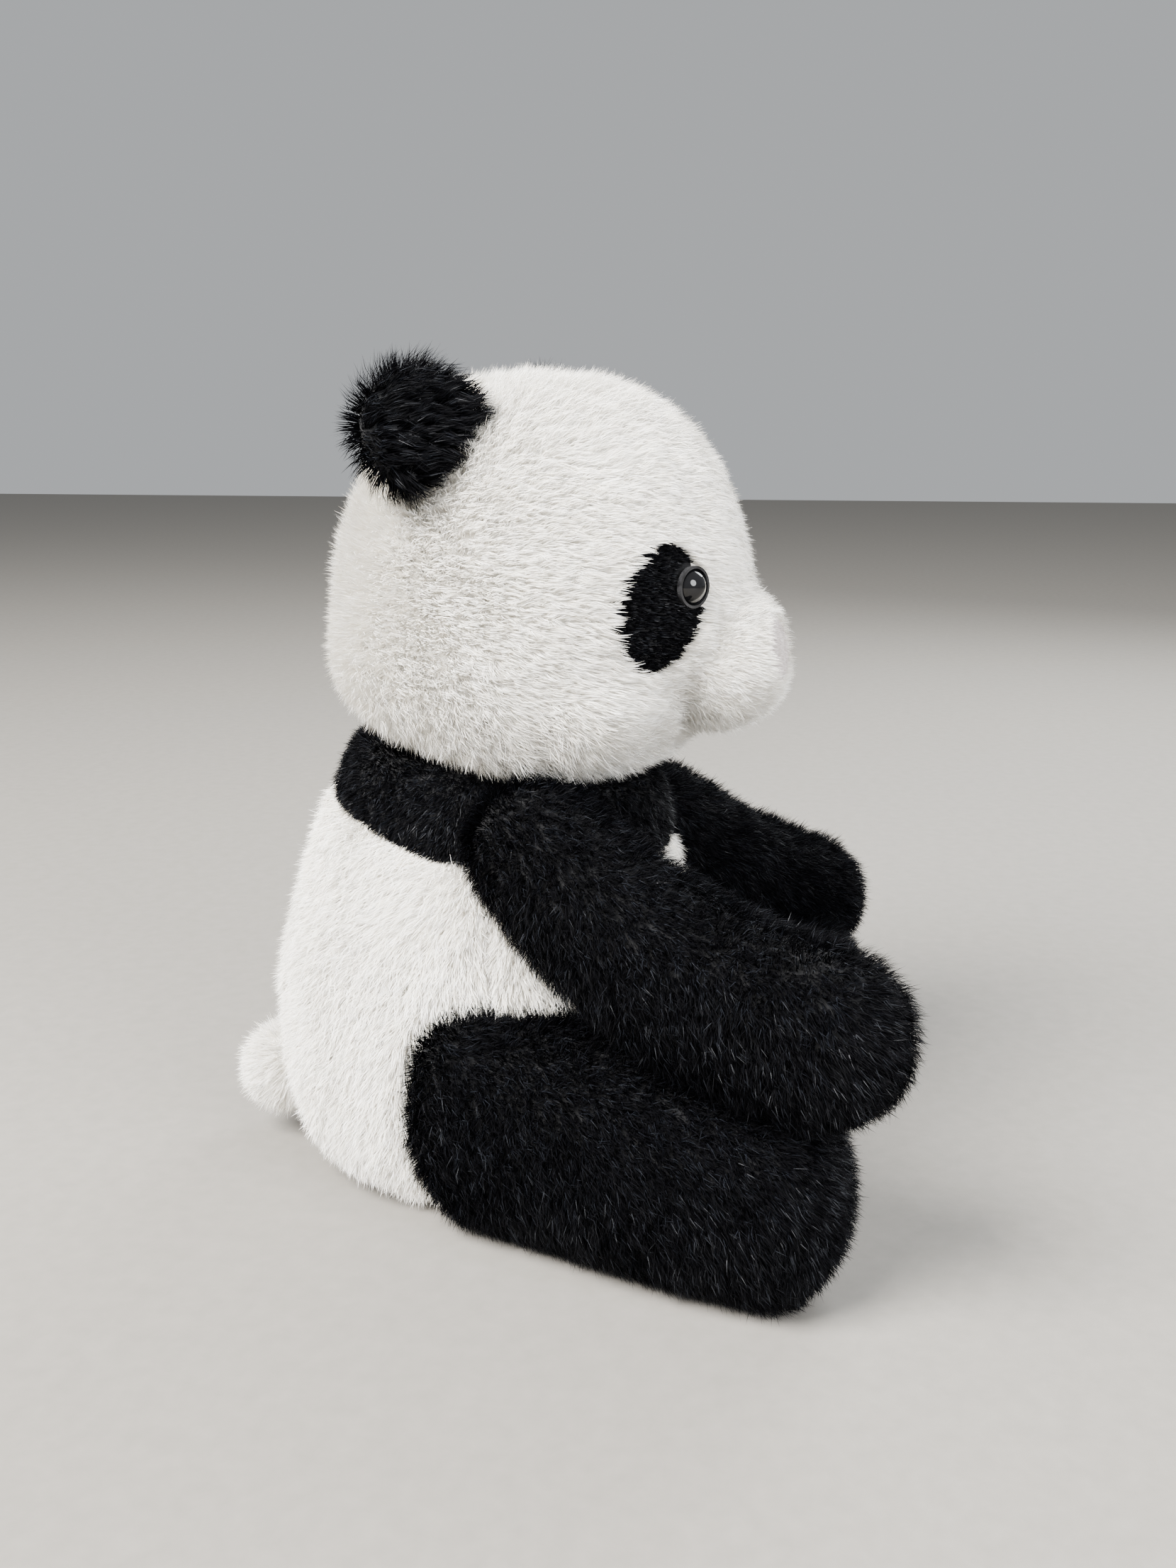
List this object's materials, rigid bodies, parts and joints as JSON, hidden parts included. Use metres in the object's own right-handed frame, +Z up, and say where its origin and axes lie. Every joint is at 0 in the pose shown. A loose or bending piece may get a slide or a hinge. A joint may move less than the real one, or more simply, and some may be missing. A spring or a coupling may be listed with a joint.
{
  "type": "plush panda",
  "caption": "Seated plush panda with a stuffed head, torso, arms, legs, ears and tail that move at their sewn seams.",
  "frame": {"origin": "on the surface the toy sits on, 3 mm in front of the middle of its round base", "axes": "+Z is up, -Y is the way the chest faces, and -X is the toy's own right side"},
  "size_m": [0.2726, 0.2486, 0.2993],
  "materials": {
    "white_plush": "long soft pile, warm white",
    "black_plush": "long soft pile, black",
    "black_short_plush": "shorter, denser pile, black",
    "pale_short_plush": "very short pile, pale pinkish grey",
    "fibre_fill": "loose polyester fibre",
    "pellet_cloth": "plain woven bag",
    "thread": "twisted sewing thread",
    "eye_black": "moulded, high gloss",
    "eye_clear": "clear moulded rim, smoky against the black",
    "washer_white": "moulded"
  },
  "bodies": {
    "torso": {"yoke_left": "black_short_plush", "torso_back_left": "white_plush", "arm_seam_left": "thread", "yoke_right": "black_short_plush", "torso_back_right": "white_plush", "arm_seam_right": "thread", "torso_belly": "white_plush", "torso_base": "white_plush", "torso_stuffing": "fibre_fill", "pellet_bag": "pellet_cloth"},
    "head": {"head_side_left": "white_plush", "muzzle_left": "white_plush", "eye_patch_left": "black_short_plush", "eye_left": "eye_black", "eye_rim_left": "eye_clear", "eye_washer_left": "washer_white", "head_side_right": "white_plush", "muzzle_right": "white_plush", "eye_patch_right": "black_short_plush", "eye_right": "eye_black", "eye_rim_right": "eye_clear", "eye_washer_right": "washer_white", "head_crown": "white_plush", "head_chin": "white_plush", "nose_pad": "pale_short_plush", "head_stuffing": "fibre_fill", "muzzle_stuffing": "fibre_fill"},
    "arm_right": {"arm_outer_right": "black_plush", "arm_inner_right": "black_plush", "arm_stuffing_right": "fibre_fill"},
    "arm_left": {"arm_outer_left": "black_plush", "arm_inner_left": "black_plush", "arm_stuffing_left": "fibre_fill"},
    "leg_right": {"leg_outer_right": "black_plush", "leg_inner_right": "black_plush", "leg_sole_right": "black_short_plush", "leg_stuffing_right": "fibre_fill"},
    "leg_left": {"leg_outer_left": "black_plush", "leg_inner_left": "black_plush", "leg_sole_left": "black_short_plush", "leg_stuffing_left": "fibre_fill"},
    "ear_right": {"ear_front_right": "black_plush", "ear_back_right": "black_plush"},
    "ear_left": {"ear_front_left": "black_plush", "ear_back_left": "black_plush"},
    "tail": {"tail_left": "white_plush", "tail_right": "white_plush", "tail_stuffing": "fibre_fill"}
  },
  "joints": [
    {"name": "head_turn", "type": "hinge", "parent": "torso", "child": "head", "pos_m": [0, -0.012, 0.162], "axis": [0, 0, 1], "range_deg": [-20, 32], "stiffness_Nm_per_rad": 0.05},
    {"name": "arm_right_lift", "type": "hinge", "parent": "torso", "child": "arm_right", "pos_m": [-0.044, -0.04, 0.136], "axis": [-1, 0, 0], "range_deg": [0, 60]},
    {"name": "arm_left_lift", "type": "hinge", "parent": "torso", "child": "arm_left", "pos_m": [0.044, -0.04, 0.136], "axis": [-1, 0, 0], "range_deg": [0, 60]},
    {"name": "leg_right_swing", "type": "hinge", "parent": "torso", "child": "leg_right", "pos_m": [-0.058, -0.028, 0.036], "axis": [0, 0, 1], "range_deg": [-8, 12], "stiffness_Nm_per_rad": 0.15},
    {"name": "leg_left_swing", "type": "hinge", "parent": "torso", "child": "leg_left", "pos_m": [0.058, -0.028, 0.036], "axis": [0, 0, -1], "range_deg": [0, 12], "stiffness_Nm_per_rad": 0.15},
    {"name": "ear_left_fold", "type": "hinge", "parent": "head", "child": "ear_left", "pos_m": [0.06135, -0.02081, 0.27154], "axis": [-0.7013, -0.2596, 0.6639], "range_deg": [-20, 4], "stiffness_Nm_per_rad": 0.004},
    {"name": "ear_right_fold", "type": "hinge", "parent": "head", "child": "ear_right", "pos_m": [-0.06166, -0.00571, 0.27154], "axis": [-0.6176, 0.4216, -0.6639], "range_deg": [-20, 4], "stiffness_Nm_per_rad": 0.004},
    {"name": "tail_wag", "type": "hinge", "parent": "torso", "child": "tail", "pos_m": [0, 0.0696, 0.028], "axis": [1, 0, 0], "range_deg": [-20, 20], "stiffness_Nm_per_rad": 0.004}
  ]
}
